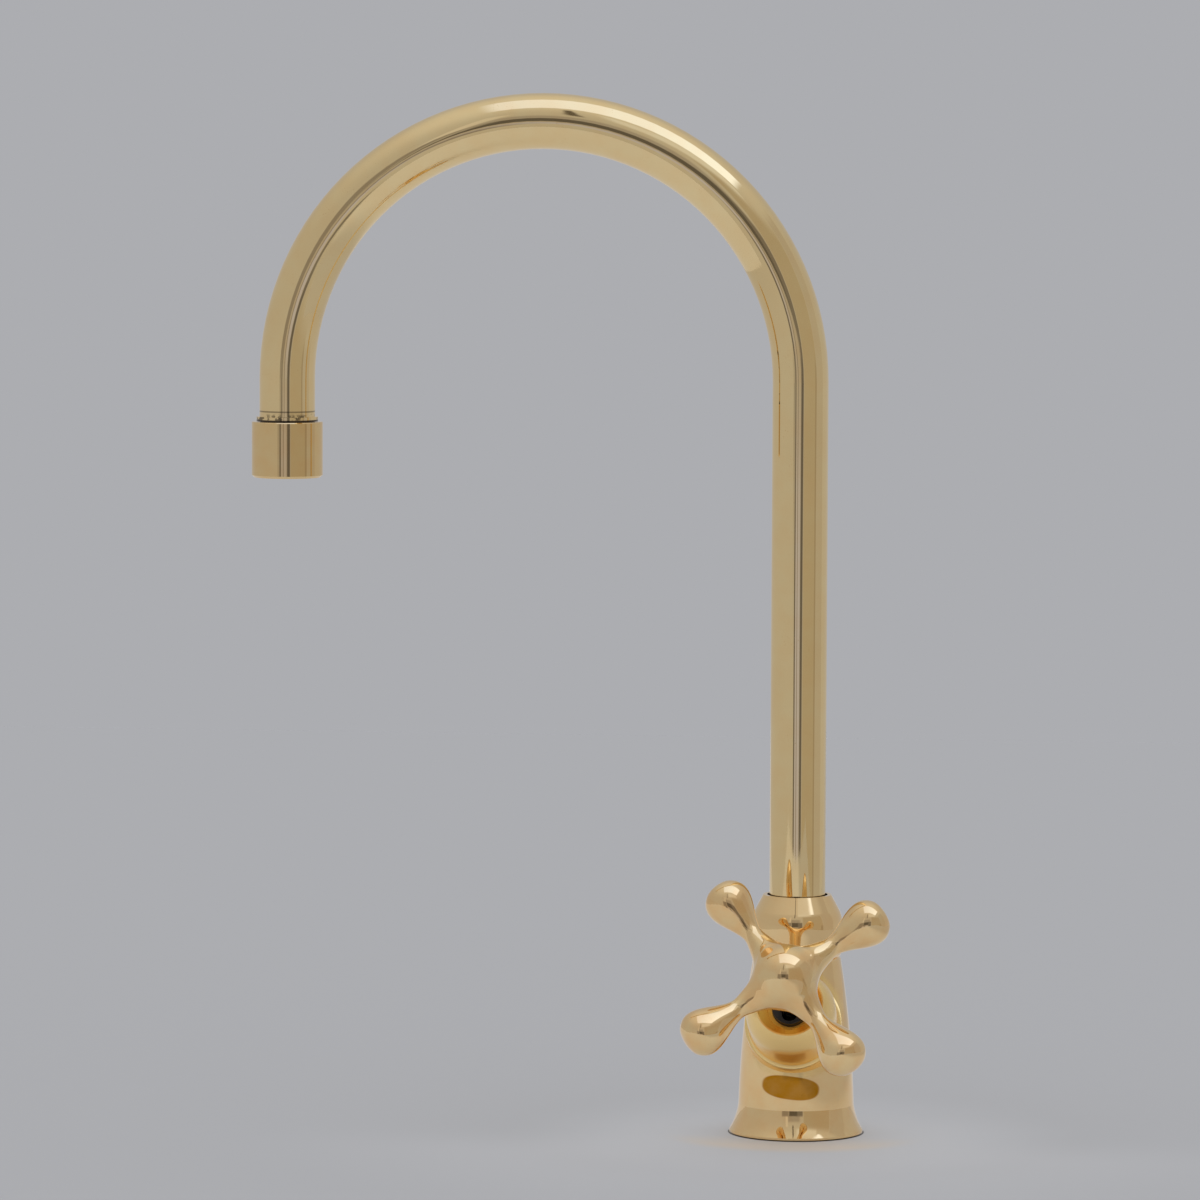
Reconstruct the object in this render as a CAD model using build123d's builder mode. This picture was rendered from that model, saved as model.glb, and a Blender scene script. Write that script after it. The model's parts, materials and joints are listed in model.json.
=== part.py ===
"""Single-hole faucet: flared body, swivelling gooseneck spout, cross handle on a leaning cartridge port.

Millimetres, +Z up. The origin is the mouth of the mounting-stud hole, at the centre of the body's
underside. The spout points to -X and the port leans up towards -Y.
"""
from build123d import *

import os
from math import cos, radians, sin

os.makedirs("parts", exist_ok=True)

# Body: a turned cone on a flared foot
flare_top_r = 22.75
flare_top_z = 11.5
foot_r = flare_top_r + 3.55
foot_edge_h = 1.2
flare_mid_r = flare_top_r + 1.55
flare_mid_z = 5.2
belly_r = flare_top_r - 1.65
belly_z = 39.0
seam_r = 17.3
seam_z = 69.8
seam_chamfer = 0.7

# Neck that the bonnet screws on, and the socket that the spout's spigot turns in
neck_r = 14.0
neck_top_z = 84.0
socket_r = 9.5
socket_floor_z = 60.0
riser_r = 4.5
riser_floor_z = 27.0

# Underside
stud_thread_r = 4.0
stud_thread_depth = 14.0
inlet_thread_r = 5.0
inlet_thread_depth = 12.0
inlet_x = 8.0
inlet_y = -8.5
inlet_drill_r = 3.0
inlet_drill_top_z = 45.0
seal_groove_inner_r = 19.5
seal_groove_outer_r = 22.5
seal_groove_depth = 2.0

# Port: distances along its axis start at the body's axis
port_tilt = 26.0
port_z = 36.9
bore_r = 12.6
bore_depth = 30.5
dome_r = 17.6
dome_start = flare_top_r - 1.25
dome_straight_end = dome_start + 11.5
ring_r = dome_r + 1.4
ring_end = dome_start - 1.9
mouth_face_r = bore_r + 0.7
mouth_end = dome_start + 23.0
bore_floor = mouth_end - bore_depth
dome_shoulder_r = mouth_face_r + 0.67 * (dome_r - mouth_face_r)
dome_shoulder_end = mouth_end - 4.7
cove_bulge = 0.3
shoulder_end_slope = 0.9

# Cartridge: a 25 mm joystick cartridge in the port's bore
fixed_gap = 0.1
running_gap = 0.05
cartridge_r = bore_r - fixed_gap
seal_h = 0.8
seal_inner_r = 2.7
seal_outer_r = 4.0
water_hole_r = 2.6
outlet_hole_r = 3.0
water_hole_x = 6.3
water_hole_y = 2.5
outlet_hole_y = -5.0
water_hole_depth = 8.0
cartridge_foot_h = 3.2
cartridge_rim_h = 2.0
cartridge_cavity_r = 10.8
fixed_disc_h = 2.6
moving_disc_r = 6.4
moving_disc_h = 2.5
disc_window_rx = 3.8
disc_window_ry = 2.9
carrier_r = 7.8
carrier_h = 4.2
carrier_floor_h = 0.7
rotor_gap = 0.2
rotor_h = 6.9
rotor_neck_r = 6.9
rotor_neck_h = 5.3
housing_lid_h = 2.3
cartridge_nut_h = 2.8
nut_hole_r = 9.0
nut_slot_w = 3.6
nut_slot_depth = 1.4
nut_slots = 4

# Lever: rocks on a pin in the rotor
lever_rest_tilt = 3.9
lever_travel = 20.0
lever_r = 3.0
lever_shoulder = 1.0
lever_guide_gap = 0.1
lever_ball_gap = 0.2
lever_arm = 5.4
lever_arm_r = 1.2
lever_ball_r = 1.7
pin_r = 1.25
pin_length = 17.0
square_w = 6.4
square_fit = 0.1
square_length = 20.0
square_overlap = 1.0
square_end_gap = 1.0

# Cross handle, measured from the lever's pivot and then from the arms' plane
handle_reach = 37.1
handle_turn = 37.0
handle_arms = 4
hub_r = 12.2
hub_front_h = 9.0
hub_front_r = 8.6
hub_front_mid_h = 6.0
hub_back_h = 5.5
hub_back_r = 9.8
hub_neck_r = 5.2
hub_neck_end = 19.5
hub_throat_r = 6.4
hub_throat_h = 10.5
arm_root_r = 7.2
arm_root_at = 9.0
arm_shoulder_r = 5.0
arm_shoulder_at = 16.0
arm_neck_r = 3.8
arm_neck_at = 22.6
arm_flare_r = 5.3
arm_flare_at = 28.1
bulb_side_r = 7.6
bulb_side_at = 32.9
bulb_r = 9.1
bulb_at = 38.9
bulb_tip_at = 46.5
arm_root_slope = -0.5
screw_r = 2.0
screw_length = 4.0
screw_hex_w = 2.0
screw_hex_depth = 1.8
screw_at = 8.0

# Spout bonnet
bonnet_bottom_z = 70.3
bonnet_edge_r = 17.0
bonnet_foot_r = 17.5
bonnet_foot_z = 71.2
bonnet_waist_r = 17.7
bonnet_waist_z = 78.0
bonnet_shoulder_r = 17.35
bonnet_shoulder_z = 86.4
bonnet_cone_r = 16.7
bonnet_cone_z = 88.1
bonnet_lip_r = 13.4
bonnet_top_z = 94.3
bonnet_hole_r = 11.9

# Spout: spigot, glide washers and O-rings in the neck
spigot_flange_r = 13.0
spigot_flange_h = 3.0
flange_room = 0.3
washer_h = 1.2
spigot_foot_z = 61.0
spigot_bore_r = 6.5
spigot_nipple_h = 10.0
o_ring_zs = (66.0, 73.0)
o_ring_r = 0.78
o_ring_groove_w = 2.0
o_ring_groove_depth = 1.6

# Spout tube
tube_r = 11.0
tube_wall = 1.0
arch_r = 101.45
spring_z = 295.95
outlet_leg = 13.3

# Outlet
adaptor_sleeve_h = 8.0
adaptor_neck_h = 2.0
adaptor_flange_r = 12.2
adaptor_flange_h = 1.8
adaptor_stub_r = 10.9
adaptor_stub_h = 7.0
adaptor_bore_r = 8.5
outlet_gap = 0.2
aerator_r = 14.05
aerator_h = 22.0
aerator_edge = 0.9
aerator_top_edge = 0.3
aerator_thread_h = 8.0
insert_r = 10.5
insert_wall = 1.2
aerator_lip_r = 9.6
aerator_lip_h = 2.0
aerator_washer_h = 1.6
diffuser_h = 2.0
diffuser_holes = 12
diffuser_hole_r = 0.8
diffuser_hole_at = 6.2
grid_h = 1.2
grid_cell_r = 1.05
grid_pitch = 2.35
grid_rings = 3

# Base seal
seal_fit = 0.1

# How far a cutter runs past the face that it cuts
cut_margin = 1.0

# Worked-out places
tube_bore_r = tube_r - tube_wall
port_dir = (0.0, -cos(radians(port_tilt)), sin(radians(port_tilt)))
port = Plane(origin=(0, 0, port_z), x_dir=(1, 0, 0), z_dir=port_dir)
port_section = Plane(origin=port.origin, x_dir=port.x_dir, z_dir=-port.y_dir)
port_axis = Axis(port.origin, port.z_dir)

inlets = ((-inlet_x, inlet_y), (inlet_x, inlet_y))
supply_ports = ((-water_hole_x, water_hole_y), (water_hole_x, water_hole_y))
mixed_port = (0, outlet_hole_y)

foot_start = bore_floor + seal_h
fixed_disc_start = foot_start + cartridge_foot_h
moving_disc_start = fixed_disc_start + fixed_disc_h + running_gap
carrier_start = moving_disc_start + moving_disc_h + running_gap
rotor_start = carrier_start + carrier_h + rotor_gap
rotor_r = cartridge_cavity_r - running_gap
rotor_end = rotor_start + rotor_h
rotor_top = rotor_end + rotor_neck_h
housing_start = fixed_disc_start + cartridge_rim_h
housing_lid_start = rotor_end + rotor_gap
nut_start = housing_lid_start + housing_lid_h
lever_pocket_floor = carrier_start + carrier_floor_h
lever_pivot_at = lever_pocket_floor + lever_ball_r + lever_ball_gap + lever_arm

lever_tilt = port_tilt + lever_rest_tilt
lever_dir = (0.0, -cos(radians(lever_tilt)), sin(radians(lever_tilt)))
pivot = port.origin + port.z_dir * lever_pivot_at
lever_frame = Plane(origin=pivot, x_dir=(1, 0, 0), z_dir=lever_dir)
lever_section = Plane(origin=pivot, x_dir=(1, 0, 0), z_dir=-lever_frame.y_dir)
lever_axis = Axis(pivot, lever_frame.z_dir)
lever_ball_shift = -lever_arm * sin(radians(lever_rest_tilt))
slot_reach = rotor_top - lever_pivot_at
slot_room = slot_reach * sin(radians(lever_travel - lever_rest_tilt)) + 2 * lever_guide_gap
slot_back = slot_reach * sin(radians(lever_rest_tilt)) + 2 * lever_guide_gap
pin_frame = Plane(origin=pivot, x_dir=port.y_dir, z_dir=(1, 0, 0))
square_start = handle_reach - hub_neck_end
stem_end = square_start + 2 * square_overlap

handle_centre = pivot + lever_frame.z_dir * handle_reach
hub_section = Plane(origin=handle_centre, x_dir=(1, 0, 0), z_dir=-lever_frame.y_dir)
screw_at_point = handle_centre - lever_frame.z_dir * screw_at
screw_frame = Plane(origin=screw_at_point, x_dir=(1, 0, 0), z_dir=-lever_frame.y_dir)

flange_bottom_z = neck_top_z + washer_h + running_gap
flange_top_z = flange_bottom_z + spigot_flange_h
upper_washer_z = flange_top_z + running_gap
bonnet_shelf_z = upper_washer_z + washer_h
spigot_r = socket_r - running_gap

tube_end_z = spring_z - outlet_leg
adaptor_flange_z = tube_end_z - adaptor_neck_h
adaptor_stub_z = adaptor_flange_z - adaptor_flange_h
stub_end_z = adaptor_stub_z - adaptor_stub_h
aerator_top_z = adaptor_stub_z - outlet_gap
aerator_bottom_z = aerator_top_z - aerator_h
insert_bottom_z = aerator_bottom_z + aerator_lip_h
insert_top_z = stub_end_z - aerator_washer_h
outlet_x = -2 * arch_r
outlet = Plane(origin=(outlet_x, 0, 0))
outlet_section = Plane(origin=(outlet_x, 0, 0), x_dir=(1, 0, 0), z_dir=(0, -1, 0))
outlet_axis = Axis((outlet_x, 0, 0), (0, 0, 1))


def at_port(distance):
    """The plane across the port's axis at a distance along it."""
    return port.offset(distance)


# Body: casting with its leaning cartridge port
with BuildPart() as body:
    with BuildSketch(Plane.XZ):
        with BuildLine():
            foot_edge = Polyline((0, 0), (foot_r, 0), (foot_r, foot_edge_h))
            flare = ThreePointArc(foot_edge @ 1, (flare_mid_r, flare_mid_z), (flare_top_r, flare_top_z))
            belly = ThreePointArc(flare @ 1, (belly_r, belly_z), (seam_r, seam_z - seam_chamfer))
            Polyline(
                belly @ 1,
                (seam_r - seam_chamfer, seam_z),
                (neck_r, seam_z),
                (neck_r, neck_top_z),
                (0, neck_top_z),
                (0, 0),
            )
        make_face()
    revolve(axis=Axis.Z)
    with BuildSketch(port_section):
        with BuildLine():
            ring_wall = Polyline((0, 0), (ring_r, 0), (ring_r, ring_end))
            cove = ThreePointArc(
                ring_wall @ 1,
                (dome_r + (ring_r - dome_r) * cove_bulge, ring_end + (dome_start - ring_end) * cove_bulge),
                (dome_r, dome_start),
            )
            dome_wall = Line(cove @ 1, (dome_r, dome_straight_end))
            shoulder = Spline(
                dome_wall @ 1,
                (dome_shoulder_r, dome_shoulder_end),
                (mouth_face_r, mouth_end),
                tangents=((0, 1), (-1, shoulder_end_slope)),
            )
            Polyline(shoulder @ 1, (0, mouth_end), (0, 0))
        make_face()
    revolve(axis=port_axis)
    with BuildSketch(at_port(mouth_end)):
        Circle(bore_r)
    extrude(amount=-bore_depth, mode=Mode.SUBTRACT)
    with BuildSketch(at_port(bore_floor)):
        with Locations(*supply_ports):
            Circle(water_hole_r)
    extrude(amount=-water_hole_depth, mode=Mode.SUBTRACT)
    with BuildSketch(at_port(bore_floor)):
        with Locations(mixed_port):
            Circle(outlet_hole_r)
    extrude(amount=-bore_floor, mode=Mode.SUBTRACT)
    with BuildSketch(Plane.XY.offset(neck_top_z)):
        Circle(socket_r)
    extrude(amount=-(neck_top_z - socket_floor_z), mode=Mode.SUBTRACT)
    with BuildSketch(Plane.XY.offset(socket_floor_z)):
        Circle(riser_r)
    extrude(amount=-(socket_floor_z - riser_floor_z), mode=Mode.SUBTRACT)
    with BuildSketch(Plane.XY):
        with Locations(*inlets):
            Circle(inlet_thread_r)
    extrude(amount=inlet_thread_depth, mode=Mode.SUBTRACT)
    with BuildSketch(Plane.XY):
        with Locations(*inlets):
            Circle(inlet_drill_r)
    extrude(amount=inlet_drill_top_z, mode=Mode.SUBTRACT)
    with BuildSketch(Plane.XY):
        Circle(stud_thread_r)
    extrude(amount=stud_thread_depth, mode=Mode.SUBTRACT)
    with BuildSketch(Plane.XY):
        Circle(seal_groove_outer_r)
        Circle(seal_groove_inner_r, mode=Mode.SUBTRACT)
    extrude(amount=seal_groove_depth, mode=Mode.SUBTRACT)
body.part.label = "body"
export_step(body.part, "parts/body.step")

# Rubber ring in the foot's groove
with BuildPart() as base_seal:
    with BuildSketch(Plane.XY):
        Circle(seal_groove_outer_r - seal_fit)
        Circle(seal_groove_inner_r + seal_fit, mode=Mode.SUBTRACT)
    extrude(amount=seal_groove_depth - seal_fit)
base_seal.part.label = "base_seal"
export_step(base_seal.part, "parts/base_seal.step")

# Ogive nut that holds the spout down
with BuildPart() as spout_bonnet:
    with BuildSketch(Plane.XZ):
        with BuildLine():
            under = Polyline(
                (neck_r, bonnet_bottom_z),
                (bonnet_edge_r, bonnet_bottom_z),
                (bonnet_foot_r, bonnet_foot_z),
            )
            ogive = Spline(
                under @ 1,
                (bonnet_waist_r, bonnet_waist_z),
                (bonnet_shoulder_r, bonnet_shoulder_z),
                (bonnet_cone_r, bonnet_cone_z),
            )
            Polyline(
                ogive @ 1,
                (bonnet_lip_r, bonnet_top_z),
                (bonnet_hole_r, bonnet_top_z),
                (bonnet_hole_r, bonnet_shelf_z),
                (spigot_flange_r + flange_room, bonnet_shelf_z),
                (spigot_flange_r + flange_room, neck_top_z),
                (neck_r, neck_top_z),
                (neck_r, bonnet_bottom_z),
            )
        make_face()
    revolve(axis=Axis.Z)
spout_bonnet.part.label = "spout_bonnet"
export_step(spout_bonnet.part, "parts/spout_bonnet.step")

# Plastic rings that the spigot's flange turns between
with BuildPart() as lower_glide_washer:
    with BuildSketch(Plane.XY.offset(neck_top_z)):
        Circle(spigot_flange_r)
        Circle(spigot_r + fixed_gap, mode=Mode.SUBTRACT)
    extrude(amount=washer_h)
lower_glide_washer.part.label = "lower_glide_washer"
export_step(lower_glide_washer.part, "parts/lower_glide_washer.step")

with BuildPart() as upper_glide_washer:
    with BuildSketch(Plane.XY.offset(upper_washer_z)):
        Circle(spigot_flange_r)
        Circle(tube_r + flange_room, mode=Mode.SUBTRACT)
    extrude(amount=washer_h)
upper_glide_washer.part.label = "upper_glide_washer"
export_step(upper_glide_washer.part, "parts/upper_glide_washer.step")

# Spigot: brazed in the tube's foot, turns in the body's socket
with BuildPart() as spigot:
    with BuildSketch(Plane.XZ):
        with BuildLine():
            Polyline(
                (spigot_bore_r, spigot_foot_z),
                (spigot_r, spigot_foot_z),
                (spigot_r, flange_bottom_z),
                (spigot_flange_r, flange_bottom_z),
                (spigot_flange_r, flange_top_z),
                (tube_bore_r, flange_top_z),
                (tube_bore_r, flange_top_z + spigot_nipple_h),
                (spigot_bore_r, flange_top_z + spigot_nipple_h),
                close=True,
            )
        make_face()
        for ring_z in o_ring_zs:
            with Locations((spigot_r - o_ring_groove_depth / 2, ring_z)):
                Rectangle(o_ring_groove_depth, o_ring_groove_w, mode=Mode.SUBTRACT)
    revolve(axis=Axis.Z)
spigot.part.label = "spigot"
export_step(spigot.part, "parts/spigot.step")

with BuildPart() as spigot_o_rings:
    with BuildSketch(Plane.XZ):
        for ring_z in o_ring_zs:
            with Locations((spigot_r - o_ring_r - running_gap / 2, ring_z)):
                Circle(o_ring_r)
    revolve(axis=Axis.Z)
spigot_o_rings.part.label = "spigot_o_rings"
export_step(spigot_o_rings.part, "parts/spigot_o_rings.step")

# Gooseneck tube
with BuildPart() as spout_tube:
    with BuildLine():
        riser = Line((0, 0, flange_top_z), (0, 0, spring_z))
        crown = ThreePointArc(riser @ 1, (-arch_r, 0, spring_z + arch_r), (outlet_x, 0, spring_z))
        Line(crown @ 1, (outlet_x, 0, tube_end_z))
    with BuildSketch(Plane.XY.offset(flange_top_z)):
        Circle(tube_r)
        Circle(tube_bore_r, mode=Mode.SUBTRACT)
    sweep()
spout_tube.part.label = "spout_tube"
export_step(spout_tube.part, "parts/spout_tube.step")

# Threaded sleeve brazed in the tube's outlet
with BuildPart() as outlet_adaptor:
    with BuildSketch(outlet_section):
        with BuildLine():
            Polyline(
                (adaptor_bore_r, tube_end_z + adaptor_sleeve_h),
                (tube_bore_r, tube_end_z + adaptor_sleeve_h),
                (tube_bore_r, tube_end_z),
                (tube_r, tube_end_z),
                (tube_r, adaptor_flange_z),
                (adaptor_flange_r, adaptor_flange_z),
                (adaptor_flange_r, adaptor_stub_z),
                (adaptor_stub_r, adaptor_stub_z),
                (adaptor_stub_r, stub_end_z),
                (adaptor_bore_r, stub_end_z),
                close=True,
            )
        make_face()
    revolve(axis=outlet_axis)
outlet_adaptor.part.label = "outlet_adaptor"
export_step(outlet_adaptor.part, "parts/outlet_adaptor.step")

# Aerator: housing, washer, insert and flow grid
with BuildPart() as aerator_housing:
    with BuildSketch(outlet_section):
        with BuildLine():
            Polyline(
                (adaptor_stub_r, aerator_top_z),
                (aerator_r - aerator_top_edge, aerator_top_z),
                (aerator_r, aerator_top_z - aerator_top_edge),
                (aerator_r, aerator_bottom_z + aerator_edge),
                (aerator_r - aerator_edge, aerator_bottom_z),
                (aerator_lip_r, aerator_bottom_z),
                (aerator_lip_r, insert_bottom_z),
                (insert_r + fixed_gap, insert_bottom_z),
                (insert_r + fixed_gap, aerator_top_z - aerator_thread_h),
                (adaptor_stub_r, aerator_top_z - aerator_thread_h),
                close=True,
            )
        make_face()
    revolve(axis=outlet_axis)
aerator_housing.part.label = "aerator_housing"
export_step(aerator_housing.part, "parts/aerator_housing.step")

with BuildPart() as aerator_washer:
    with BuildSketch(outlet.offset(stub_end_z)):
        Circle(insert_r)
        Circle(adaptor_bore_r, mode=Mode.SUBTRACT)
    extrude(amount=-aerator_washer_h)
aerator_washer.part.label = "aerator_washer"
export_step(aerator_washer.part, "parts/aerator_washer.step")

with BuildPart() as aerator_insert:
    with BuildSketch(outlet.offset(insert_bottom_z)):
        Circle(insert_r)
        Circle(insert_r - insert_wall, mode=Mode.SUBTRACT)
    extrude(amount=insert_top_z - insert_bottom_z)
    with BuildSketch(outlet.offset(insert_top_z)):
        Circle(insert_r)
        with PolarLocations(diffuser_hole_at, diffuser_holes):
            Circle(diffuser_hole_r, mode=Mode.SUBTRACT)
    extrude(amount=-diffuser_h)
aerator_insert.part.label = "aerator_insert"
export_step(aerator_insert.part, "parts/aerator_insert.step")

with BuildPart() as aerator_grid:
    with BuildSketch(outlet.offset(insert_bottom_z)):
        Circle(insert_r - insert_wall - fixed_gap)
        with HexLocations(grid_pitch / 2, 2 * grid_rings + 1, 2 * grid_rings + 1):
            RegularPolygon(grid_cell_r, 6, mode=Mode.SUBTRACT)
    extrude(amount=grid_h)
aerator_grid.part.label = "aerator_grid"
export_step(aerator_grid.part, "parts/aerator_grid.step")

# Cartridge: seals, foot, ceramic discs, housing and the nut that clamps it
with BuildPart() as cartridge_seals:
    with BuildSketch(at_port(bore_floor)):
        with Locations(*supply_ports, mixed_port):
            Circle(seal_outer_r)
        with Locations(*supply_ports, mixed_port):
            Circle(seal_inner_r, mode=Mode.SUBTRACT)
    extrude(amount=seal_h)
cartridge_seals.part.label = "cartridge_seals"
export_step(cartridge_seals.part, "parts/cartridge_seals.step")

with BuildPart() as cartridge_foot:
    with BuildSketch(at_port(foot_start)):
        Circle(cartridge_r)
    extrude(amount=cartridge_foot_h)
    with BuildSketch(at_port(fixed_disc_start)):
        Circle(cartridge_r)
        Circle(cartridge_cavity_r, mode=Mode.SUBTRACT)
    extrude(amount=cartridge_rim_h)
    with BuildSketch(at_port(foot_start)):
        with Locations(*supply_ports, mixed_port):
            Circle(seal_inner_r)
    extrude(amount=cartridge_foot_h, mode=Mode.SUBTRACT)
cartridge_foot.part.label = "cartridge_foot"
export_step(cartridge_foot.part, "parts/cartridge_foot.step")

with BuildPart() as fixed_disc:
    with BuildSketch(at_port(fixed_disc_start)):
        Circle(cartridge_cavity_r - fixed_gap)
        with Locations(*supply_ports, mixed_port):
            Circle(seal_inner_r, mode=Mode.SUBTRACT)
    extrude(amount=fixed_disc_h)
fixed_disc.part.label = "fixed_disc"
export_step(fixed_disc.part, "parts/fixed_disc.step")

with BuildPart() as cartridge_housing:
    with BuildSketch(port_section):
        with BuildLine():
            Polyline(
                (cartridge_cavity_r, housing_start),
                (cartridge_r, housing_start),
                (cartridge_r, nut_start),
                (rotor_neck_r + running_gap, nut_start),
                (rotor_neck_r + running_gap, housing_lid_start),
                (cartridge_cavity_r, housing_lid_start),
                close=True,
            )
        make_face()
    revolve(axis=port_axis)
cartridge_housing.part.label = "cartridge_housing"
export_step(cartridge_housing.part, "parts/cartridge_housing.step")

with BuildPart() as cartridge_nut:
    with BuildSketch(at_port(nut_start)):
        Circle(bore_r)
        Circle(nut_hole_r, mode=Mode.SUBTRACT)
    extrude(amount=cartridge_nut_h)
    with BuildSketch(at_port(nut_start + cartridge_nut_h)):
        with PolarLocations((bore_r + nut_hole_r) / 2, nut_slots, start_angle=90):
            Rectangle(bore_r - nut_hole_r + cut_margin, nut_slot_w)
    extrude(amount=-nut_slot_depth, mode=Mode.SUBTRACT)
cartridge_nut.part.label = "cartridge_nut"
export_step(cartridge_nut.part, "parts/cartridge_nut.step")

# Moving disc and the carrier that the lever's ball pushes
with BuildPart() as moving_disc:
    with BuildSketch(at_port(moving_disc_start)):
        with Locations((0, lever_ball_shift)):
            Circle(moving_disc_r)
    extrude(amount=moving_disc_h)
    with BuildSketch(at_port(moving_disc_start)):
        with Locations((0, lever_ball_shift)):
            Ellipse(disc_window_rx, disc_window_ry)
    extrude(amount=moving_disc_h / 2, mode=Mode.SUBTRACT)
moving_disc.part.label = "moving_disc"
export_step(moving_disc.part, "parts/moving_disc.step")

with BuildPart() as disc_carrier:
    with BuildSketch(at_port(carrier_start)):
        with Locations((0, lever_ball_shift)):
            Circle(carrier_r)
    extrude(amount=carrier_h)
    with BuildSketch(at_port(lever_pocket_floor)):
        with Locations((0, lever_ball_shift)):
            Circle(lever_ball_r + lever_guide_gap)
    extrude(amount=carrier_h, mode=Mode.SUBTRACT)
disc_carrier.part.label = "disc_carrier"
export_step(disc_carrier.part, "parts/disc_carrier.step")

# Rotor that turns for temperature, slotted for the lever
with BuildPart() as rotor:
    with BuildSketch(at_port(rotor_start)):
        Circle(rotor_r)
    extrude(amount=rotor_h)
    with BuildSketch(at_port(rotor_end)):
        Circle(rotor_neck_r)
    extrude(amount=rotor_neck_h)
    with BuildSketch(at_port(rotor_start)):
        with Locations((0, (slot_back - slot_room) / 2)):
            SlotCenterToCenter(slot_room + slot_back, 2 * (lever_r + lever_guide_gap), rotation=90)
    extrude(amount=rotor_top - rotor_start, mode=Mode.SUBTRACT)
    with BuildSketch(pin_frame):
        Circle(pin_r)
    extrude(amount=pin_length / 2, both=True, mode=Mode.SUBTRACT)
rotor.part.label = "rotor"
export_step(rotor.part, "parts/rotor.step")

with BuildPart() as lever_pin:
    with BuildSketch(pin_frame):
        Circle(pin_r)
    extrude(amount=pin_length / 2, both=True)
lever_pin.part.label = "lever_pin"
export_step(lever_pin.part, "parts/lever_pin.step")

# Lever: ball, arm, eye, stem and the square that the handle sits on
with BuildPart() as lever:
    with BuildSketch(lever_section):
        with BuildLine():
            ball = ThreePointArc(
                (0, -lever_arm - lever_ball_r),
                (lever_ball_r, -lever_arm),
                (lever_arm_r, -lever_arm + (lever_ball_r**2 - lever_arm_r**2) ** 0.5),
            )
            Polyline(
                ball @ 1,
                (lever_arm_r, -lever_r),
                (lever_r, -lever_r + lever_shoulder),
                (lever_r, stem_end),
                (0, stem_end),
                (0, -lever_arm - lever_ball_r),
            )
        make_face()
    revolve(axis=lever_axis)
    with BuildSketch(lever_frame.offset(square_start + square_overlap)):
        Rectangle(square_w, square_w)
    extrude(amount=square_length)
    with BuildSketch(pin_frame):
        Circle(pin_r + running_gap)
    extrude(amount=lever_r + cut_margin, both=True, mode=Mode.SUBTRACT)
lever.part.label = "lever"
export_step(lever.part, "parts/lever.step")

# Cross handle: hub with a neck, and four bulb-ended arms
with BuildPart() as cross_handle:
    with BuildSketch(hub_section):
        with BuildLine():
            front = Spline(
                (0, hub_front_h),
                (hub_front_r, hub_front_mid_h),
                (hub_r, 0),
                (hub_back_r, -hub_back_h),
                (hub_throat_r, -hub_throat_h),
                (hub_neck_r, -hub_neck_end),
                tangents=((1, 0), (0, -1)),
            )
            Polyline(front @ 1, (0, -hub_neck_end), (0, hub_front_h))
        make_face()
    revolve(axis=lever_axis)
    for arm in range(handle_arms):
        arm_angle = radians(handle_turn + arm * 360 / handle_arms)
        arm_dir = lever_frame.x_dir * cos(arm_angle) + lever_frame.y_dir * sin(arm_angle)
        arm_section = Plane(origin=handle_centre, x_dir=arm_dir, z_dir=lever_frame.z_dir)
        with BuildSketch(arm_section):
            with BuildLine():
                top = Spline(
                    (arm_root_at, arm_root_r),
                    (arm_shoulder_at, arm_shoulder_r),
                    (arm_neck_at, arm_neck_r),
                    (arm_flare_at, arm_flare_r),
                    (bulb_side_at, bulb_side_r),
                    (bulb_at, bulb_r),
                    (bulb_tip_at, 0),
                    tangents=((1, arm_root_slope), (0, -1)),
                )
                Polyline(top @ 1, (arm_root_at, 0), (arm_root_at, arm_root_r))
            make_face()
        revolve(axis=Axis(handle_centre, arm_dir))
    with BuildSketch(lever_frame.offset(square_start)):
        Rectangle(square_w + square_fit, square_w + square_fit)
    extrude(amount=square_overlap + square_length + square_end_gap, mode=Mode.SUBTRACT)
    with BuildSketch(screw_frame):
        Circle(screw_r)
    extrude(amount=hub_r, mode=Mode.SUBTRACT)
cross_handle.part.label = "cross_handle"
export_step(cross_handle.part, "parts/cross_handle.step")

# Grub screw that grips the square
with BuildPart() as handle_screw:
    with BuildSketch(screw_frame.offset(square_w / 2)):
        Circle(screw_r)
    extrude(amount=screw_length)
    with BuildSketch(screw_frame.offset(square_w / 2 + screw_length)):
        RegularPolygon(screw_hex_w / 2, 6, major_radius=False)
    extrude(amount=-screw_hex_depth, mode=Mode.SUBTRACT)
handle_screw.part.label = "handle_screw"
export_step(handle_screw.part, "parts/handle_screw.step")
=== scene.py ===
"""Finishes, studio and camera for a polished brass single-hole faucet with a gooseneck spout.

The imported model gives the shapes. Lengths are metres, +Z is up, the spout points to -X and the
cartridge port leans up towards -Y.
"""
import json
from math import cos, pi, radians, sin

import bpy
import numpy as np
from bpy.props import FloatProperty, FloatVectorProperty, PointerProperty
from mathutils import Matrix, Vector


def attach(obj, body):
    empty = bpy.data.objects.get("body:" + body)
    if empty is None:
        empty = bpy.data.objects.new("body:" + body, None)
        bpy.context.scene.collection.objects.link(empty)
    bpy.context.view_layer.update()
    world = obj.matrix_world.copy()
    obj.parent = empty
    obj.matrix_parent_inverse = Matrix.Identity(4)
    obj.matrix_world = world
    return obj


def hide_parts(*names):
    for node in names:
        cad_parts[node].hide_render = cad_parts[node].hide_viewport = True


bl_info = {
    "name": "Brass gooseneck faucet",
    "version": (1, 0, 0),
    "blender": (4, 5, 0),
    "location": "3D View > Sidebar > Faucet",
    "description": "Polishes the faucet's brass, dresses its cartridge and seals, and builds its studio",
    "category": "Object",
}

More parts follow.
